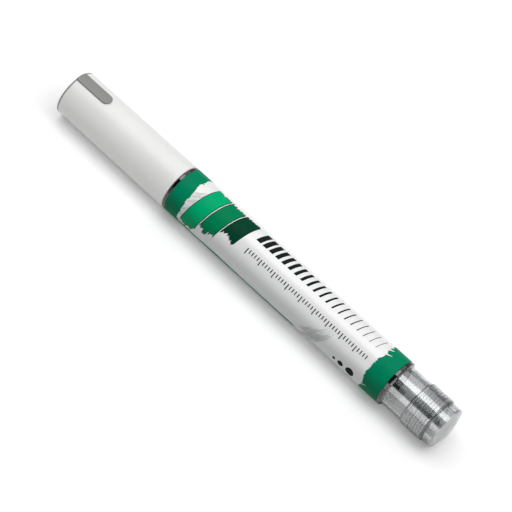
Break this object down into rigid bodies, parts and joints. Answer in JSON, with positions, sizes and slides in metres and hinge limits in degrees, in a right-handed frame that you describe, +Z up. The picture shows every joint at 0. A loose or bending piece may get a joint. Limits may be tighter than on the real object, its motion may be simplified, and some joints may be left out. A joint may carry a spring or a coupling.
{
  "type": "paint marker",
  "caption": "Capped paint marker with a labelled clear barrel, valve-fed nib, mixing ball, short clip tongue and clear screw-in tail plug.",
  "frame": {"origin": "on the resting plane under the middle of the marker, as it lies on its side", "axes": "+X along the marker from the cap's end to the tail, +Z up through the clip tongue"},
  "size_m": [0.1422, 0.0144, 0.0148],
  "materials": {
    "cap_plastic": "satin white moulded",
    "grey_plastic": "satin grey moulded",
    "liner_plastic": "natural moulded",
    "clear_plastic": "clear gloss moulded",
    "label_film": "gloss printed film",
    "section_plastic": "satin black moulded",
    "seal_rubber": "soft matt",
    "gasket_rubber": "smoke translucent",
    "valve_plastic": "natural moulded",
    "spring_steel": "polished",
    "nib_fibre": "ground acrylic fibre"
  },
  "bodies": {
    "barrel": {"barrel_tube": "clear_plastic", "label_sleeve": "label_film", "front_section": "section_plastic", "section_seal_ring": "seal_rubber", "valve_housing": "valve_plastic", "valve_seat_washer": "seal_rubber", "valve_spring": "spring_steel", "spring_retainer": "valve_plastic"},
    "cap": {"cap_shell": "cap_plastic", "cap_end_plug": "grey_plastic", "inner_cap": "liner_plastic"},
    "nib": {"writing_nib": "nib_fibre", "valve_plunger": "valve_plastic"},
    "ball": {"mixing_ball": "spring_steel"},
    "gasket": {"plug_gasket": "gasket_rubber"},
    "plug": {"tail_plug": "clear_plastic"}
  },
  "joints": [
    {"name": "cap_pull", "type": "slide", "parent": "barrel", "child": "cap", "axis": [-1, 0, 0], "range_m": [0, 0.045]},
    {"name": "nib_press", "type": "slide", "parent": "barrel", "child": "nib", "axis": [1, 0, 0], "range_m": [0, 0.0018], "stiffness_N_per_m": 500, "springref_m": -0.003, "deforming": ["valve_spring"]},
    {"name": "ball_travel", "type": "slide", "parent": "barrel", "child": "ball", "axis": [1, 0, 0], "range_m": [-0.026, 0.0252]},
    {"name": "plug_lift", "type": "slide", "parent": "barrel", "child": "gasket", "axis": [1, 0, 0], "range_m": [0, 0.0063]},
    {"name": "plug_turn", "type": "hinge", "parent": "gasket", "child": "plug", "pos_m": [0.0665, 0, 0.0072], "axis": [1, 0, 0], "range_deg": [0, 1300]}
  ],
  "couplings": [
    {"joint": "plug_turn", "follows": "plug_lift", "rad_per_m": 3590.4}
  ]
}
